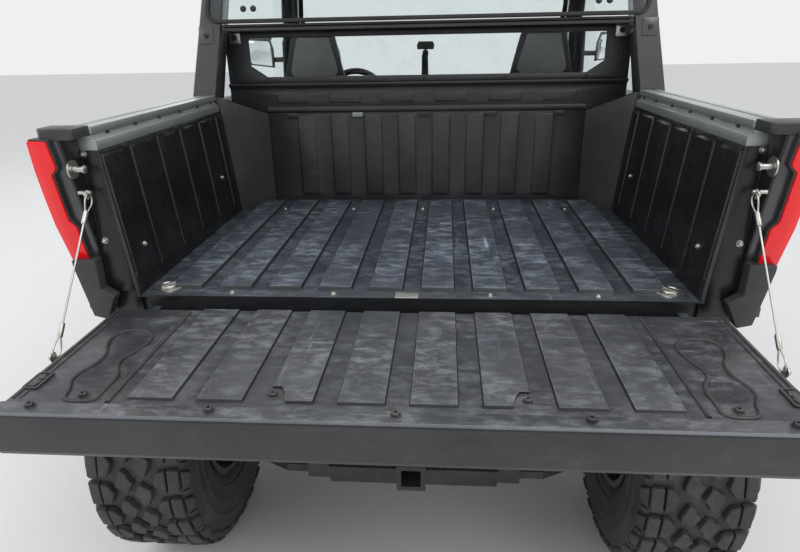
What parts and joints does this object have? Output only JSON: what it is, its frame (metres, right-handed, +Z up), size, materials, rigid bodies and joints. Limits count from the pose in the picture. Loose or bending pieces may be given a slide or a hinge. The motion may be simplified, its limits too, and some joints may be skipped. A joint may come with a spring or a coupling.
{
  "type": "side by side utv",
  "caption": "Cab utility side by side with tipping cargo bed, drop tailgate, two doors, hood, steering and free-turning wheels.",
  "frame": {"origin": "middle of the bounding box, on the ground under the tyres", "axes": "+Y forward along the vehicle, +X to its right, +Z up"},
  "size_m": [2.04, 3.56, 2.01],
  "materials": {
    "liner": "textured, scuffed",
    "wall_plastic": "semi-gloss moulded plastic",
    "dark_plastic": "moulded",
    "body_paint": "charcoal satin",
    "steel_black": "black powder coat",
    "rail_metal": "light grey satin",
    "zinc": "zinc plated",
    "lamp_red": "clear red lens",
    "lamp_clear": "clear lens",
    "window_glass": "clear",
    "tyre": "moulded rubber",
    "rim_metal": "dark satin",
    "seat_vinyl": "vinyl with grey panels",
    "engine_metal": "cast",
    "shock_paint": "gloss"
  },
  "bodies": {
    "chassis": {"frame": "steel_black", "front_arms": "steel_black", "rear_arms": "steel_black", "shocks": "shock_paint", "half_shafts": "engine_metal", "rear_hubs": "engine_metal", "driveline": "engine_metal", "muffler": "engine_metal", "hitch_receiver": "steel_black", "floor_tub": "dark_plastic", "rockers": "dark_plastic", "cab_frame": "body_paint", "roof": "body_paint", "windshield": "window_glass", "rear_panel": "dark_plastic", "rear_window": "dark_plastic", "rear_glass": "window_glass", "dash": "dark_plastic", "controls": "dark_plastic", "seat_base": "dark_plastic", "seat_cushions": "seat_vinyl", "seat_backs": "seat_vinyl", "headrests": "seat_vinyl", "mirrors": "dark_plastic", "front_fenders": "body_paint", "front_fascia": "dark_plastic", "headlamps": "lamp_clear", "front_bumper": "steel_black"},
    "hood": {"hood": "body_paint"},
    "door_left": {"door_panel_left": "body_paint", "door_glass_left": "window_glass"},
    "door_right": {"door_panel_right": "body_paint", "door_glass_right": "window_glass"},
    "bed": {"bed_floor": "liner", "bed_walls": "wall_plastic", "bed_front": "wall_plastic", "bed_sides": "body_paint", "bed_rails": "rail_metal", "rail_caps": "dark_plastic", "tail_lamps": "lamp_red", "corner_flares": "dark_plastic", "bed_frame": "steel_black", "latch_pins": "zinc", "gate_cables": "zinc"},
    "tailgate": {"gate_shell": "dark_plastic", "gate_inner": "liner"},
    "steering_wheel": {"steering_wheel": "dark_plastic"},
    "knuckle_left": {"knuckle_left": "engine_metal"},
    "knuckle_right": {"knuckle_right": "engine_metal"},
    "wheel_front_left": {"tyre_front_left": "tyre", "rim_front_left": "rim_metal"},
    "wheel_front_right": {"tyre_front_right": "tyre", "rim_front_right": "rim_metal"},
    "wheel_rear_left": {"tyre_rear_left": "tyre", "rim_rear_left": "rim_metal"},
    "wheel_rear_right": {"tyre_rear_right": "tyre", "rim_rear_right": "rim_metal"}
  },
  "joints": [
    {"name": "wheel_front_left_spin", "type": "hinge", "parent": "knuckle_left", "child": "wheel_front_left", "pos_m": [-0.6855, 1.179, 0.381], "axis": [1, 0, 0], "continuous": true},
    {"name": "wheel_rear_left_spin", "type": "hinge", "parent": "chassis", "child": "wheel_rear_left", "pos_m": [-0.6855, -1.107, 0.381], "axis": [1, 0, 0], "continuous": true},
    {"name": "steer_left", "type": "hinge", "parent": "chassis", "child": "knuckle_left", "pos_m": [-0.64, 1.179, 0.381], "axis": [0, 0, 1], "range_deg": [-25, 25]},
    {"name": "door_left_hinge", "type": "hinge", "parent": "chassis", "child": "door_left", "pos_m": [-0.812, 0.888, 1], "axis": [0, 0, -1], "range_deg": [0, 70]},
    {"name": "wheel_front_right_spin", "type": "hinge", "parent": "knuckle_right", "child": "wheel_front_right", "pos_m": [0.6855, 1.179, 0.381], "axis": [1, 0, 0], "continuous": true},
    {"name": "wheel_rear_right_spin", "type": "hinge", "parent": "chassis", "child": "wheel_rear_right", "pos_m": [0.6855, -1.107, 0.381], "axis": [1, 0, 0], "continuous": true},
    {"name": "steer_right", "type": "hinge", "parent": "chassis", "child": "knuckle_right", "pos_m": [0.64, 1.179, 0.381], "axis": [0, 0, 1], "range_deg": [-25, 25]},
    {"name": "door_right_hinge", "type": "hinge", "parent": "chassis", "child": "door_right", "pos_m": [0.812, 0.888, 1], "axis": [0, 0, 1], "range_deg": [0, 70]},
    {"name": "steering_wheel_turn", "type": "hinge", "parent": "chassis", "child": "steering_wheel", "pos_m": [-0.405, 0.693, 1.151], "axis": [0, -0.8192, 0.5736], "range_deg": [-240, 240]},
    {"name": "hood_hinge", "type": "hinge", "parent": "chassis", "child": "hood", "pos_m": [0, 0.955, 1.078], "axis": [1, 0, 0], "range_deg": [0, 50]},
    {"name": "bed_tip", "type": "hinge", "parent": "chassis", "child": "bed", "pos_m": [0, -1.262, 0.715], "axis": [1, 0, 0], "range_deg": [0, 35]},
    {"name": "tailgate_hinge", "type": "hinge", "parent": "bed", "child": "tailgate", "pos_m": [0, -1.319, 0.795], "axis": [-1, 0, 0], "range_deg": [0, 90], "deforming": ["gate_cables"]}
  ],
  "couplings": [
    {"joint": "steer_right", "follows": "steer_left", "ratio": 1},
    {"joint": "steering_wheel_turn", "follows": "steer_left", "ratio": 9.6}
  ]
}
